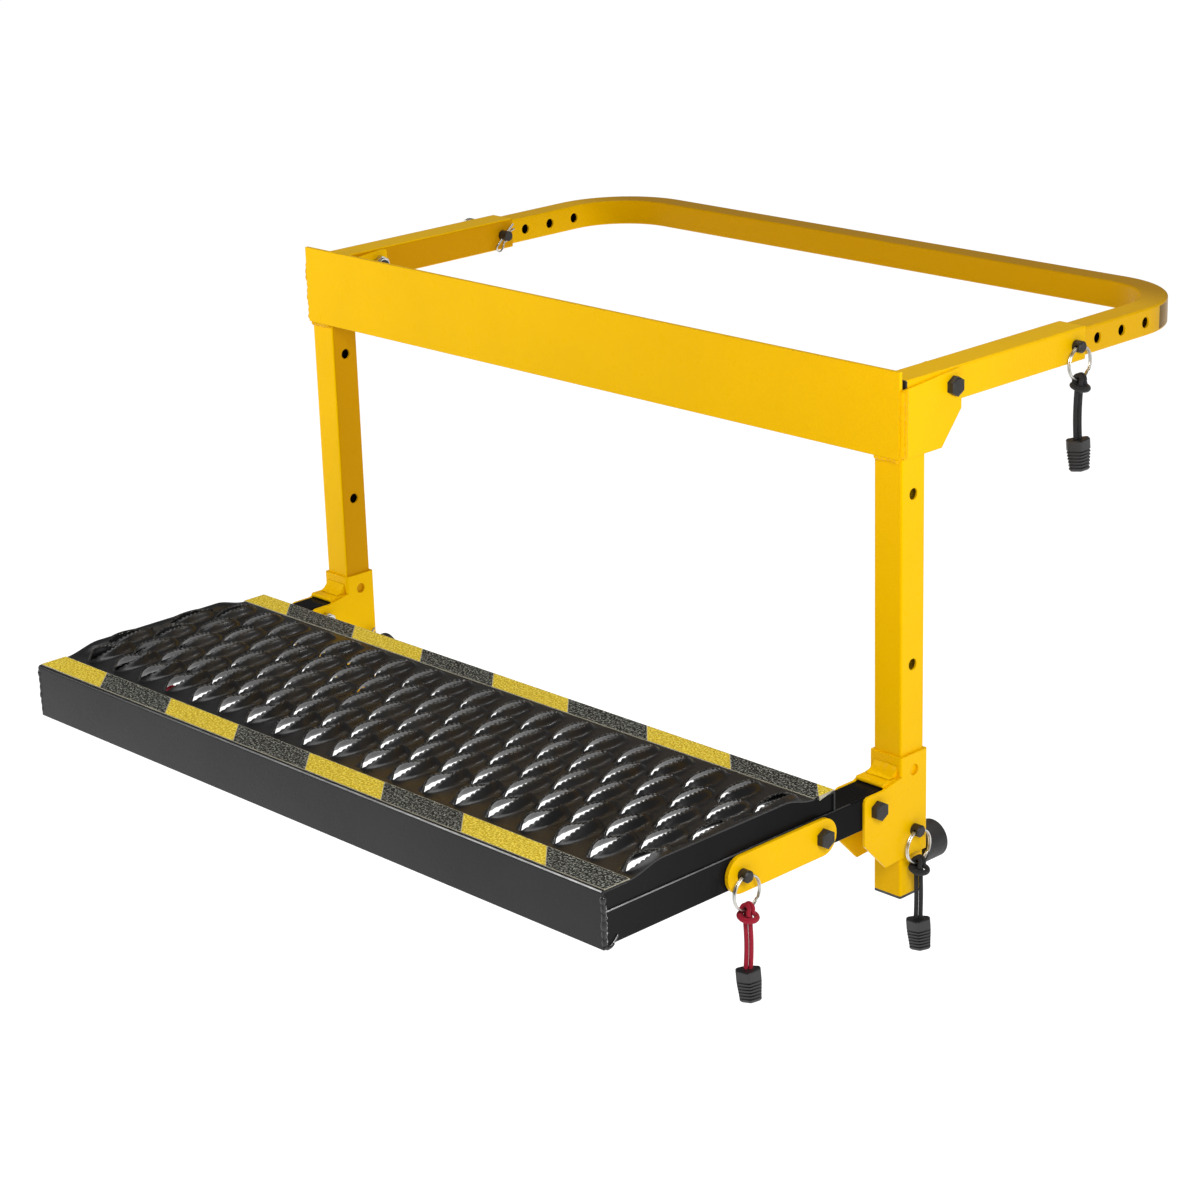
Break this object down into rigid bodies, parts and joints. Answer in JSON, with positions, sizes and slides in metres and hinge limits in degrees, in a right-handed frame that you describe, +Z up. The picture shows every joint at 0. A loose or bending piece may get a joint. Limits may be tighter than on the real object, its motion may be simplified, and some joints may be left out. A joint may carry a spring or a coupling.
{
  "type": "tailgate step",
  "caption": "Folding tailgate step: serrated tread platform on two square posts, hung from an adjustable square-tube hoop with locking pins and cord pulls.",
  "frame": {"origin": "middle of the front plate's rear face, at the level of the tailgate face that the hoop's outer tubes lie on", "axes": "+X to the right seen from the step's front, +Y from the step towards the vehicle, +Z up"},
  "size_m": [1.0058, 0.995, 0.6605],
  "materials": {
    "yellow_paint": "gloss powder coat",
    "black_paint": "semi-gloss powder coat",
    "black_oxide": "black oxide, satin",
    "zinc": "bright zinc plate",
    "ring_chrome": "polished",
    "black_cord": "braided cord",
    "red_cord": "braided cord",
    "moulded_black": "moulded, fine matt texture",
    "bumper_rubber": "matt",
    "tape_yellow": "gritty anti-slip",
    "tape_black": "gritty anti-slip"
  },
  "bodies": {
    "frame": {"front_plate": "yellow_paint", "post_left": "yellow_paint", "post_right": "yellow_paint", "post_caps": "moulded_black", "pivot_cheeks_left": "yellow_paint", "pivot_cheeks_right": "yellow_paint", "plate_welds": "yellow_paint", "sleeve_left": "yellow_paint", "sleeve_right": "yellow_paint", "stop_plates": "yellow_paint", "stop_welds": "yellow_paint", "height_pins": "black_oxide", "height_pin_clips": "zinc", "bumpers": "bumper_rubber", "bumper_bolts": "zinc", "bumper_nuts": "zinc", "arm_pivot_bolts": "black_oxide", "arm_pivot_nuts": "zinc", "hoop_pivot_bolts": "black_oxide", "hoop_pivot_nuts": "zinc"},
    "hoop": {"outer_tube_left": "yellow_paint", "outer_tube_right": "yellow_paint", "outer_tube_caps": "moulded_black", "hoop_tube": "yellow_paint", "reach_pins": "black_oxide", "reach_pin_clips": "zinc"},
    "platform": {"arm_left": "black_paint", "arm_right": "black_paint", "tread": "black_paint", "tread_lips": "black_paint", "tread_end_plates": "black_paint", "cross_rails": "black_paint", "tape_yellow": "tape_yellow", "tape_black": "tape_black", "link_bars": "yellow_paint", "link_bolts": "black_oxide", "link_nuts": "zinc", "link_spacers": "zinc"},
    "link_pin_left": {"link_pin_left": "black_oxide"},
    "link_pin_right": {"link_pin_right": "black_oxide"},
    "pull_height_left": {"ring_height_left": "ring_chrome", "cord_height_left": "black_cord", "tab_height_left": "moulded_black"},
    "pull_height_right": {"ring_height_right": "ring_chrome", "cord_height_right": "black_cord", "tab_height_right": "moulded_black"},
    "pull_reach_left": {"ring_reach_left": "ring_chrome"},
    "pull_reach_right": {"ring_reach_right": "ring_chrome", "cord_reach_right": "black_cord", "tab_reach_right": "moulded_black"},
    "pull_link_left": {"ring_link_left": "ring_chrome", "cord_link_left": "red_cord", "tab_link_left": "moulded_black"},
    "pull_link_right": {"ring_link_right": "ring_chrome", "cord_link_right": "red_cord", "tab_link_right": "moulded_black"}
  },
  "joints": [
    {"name": "platform_fold", "type": "hinge", "parent": "frame", "child": "platform", "pos_m": [0, -0.0421, -0.42555], "axis": [-1, 0, 0], "range_deg": [0, 62]},
    {"name": "hoop_fold", "type": "hinge", "parent": "frame", "child": "hoop", "pos_m": [0, 0.079, 0.01905], "axis": [-1, 0, 0], "range_deg": [0, 90]},
    {"name": "link_pin_left_pull", "type": "slide", "parent": "platform", "child": "link_pin_left", "axis": [-1, 0, 0], "range_m": [0, 0.055]},
    {"name": "link_pin_right_pull", "type": "slide", "parent": "platform", "child": "link_pin_right", "axis": [1, 0, 0], "range_m": [0, 0.055]},
    {"name": "pull_height_left_swing", "type": "hinge", "parent": "frame", "child": "pull_height_left", "pos_m": [-0.49355, 0.01905, -0.46755], "axis": [0, 1, 0], "range_deg": [0, 90]},
    {"name": "pull_height_right_swing", "type": "hinge", "parent": "frame", "child": "pull_height_right", "pos_m": [0.49355, 0.01905, -0.46755], "axis": [0, -1, 0], "range_deg": [0, 90]},
    {"name": "pull_reach_left_swing", "type": "hinge", "parent": "hoop", "child": "pull_reach_left", "pos_m": [-0.49035, 0.293, 0.01905], "axis": [0, 0.0349, -0.9994], "range_deg": [0, 90]},
    {"name": "pull_reach_right_swing", "type": "hinge", "parent": "hoop", "child": "pull_reach_right", "pos_m": [0.49035, 0.293, 0.01905], "axis": [0, -1, 0], "range_deg": [0, 90]},
    {"name": "pull_link_left_swing", "type": "hinge", "parent": "link_pin_left", "child": "pull_link_left", "pos_m": [-0.49685, -0.2575, -0.42755], "axis": [0, 1, 0], "range_deg": [0, 90]},
    {"name": "pull_link_right_swing", "type": "hinge", "parent": "link_pin_right", "child": "pull_link_right", "pos_m": [0.49685, -0.2575, -0.42755], "axis": [0, -1, 0], "range_deg": [0, 90]}
  ]
}
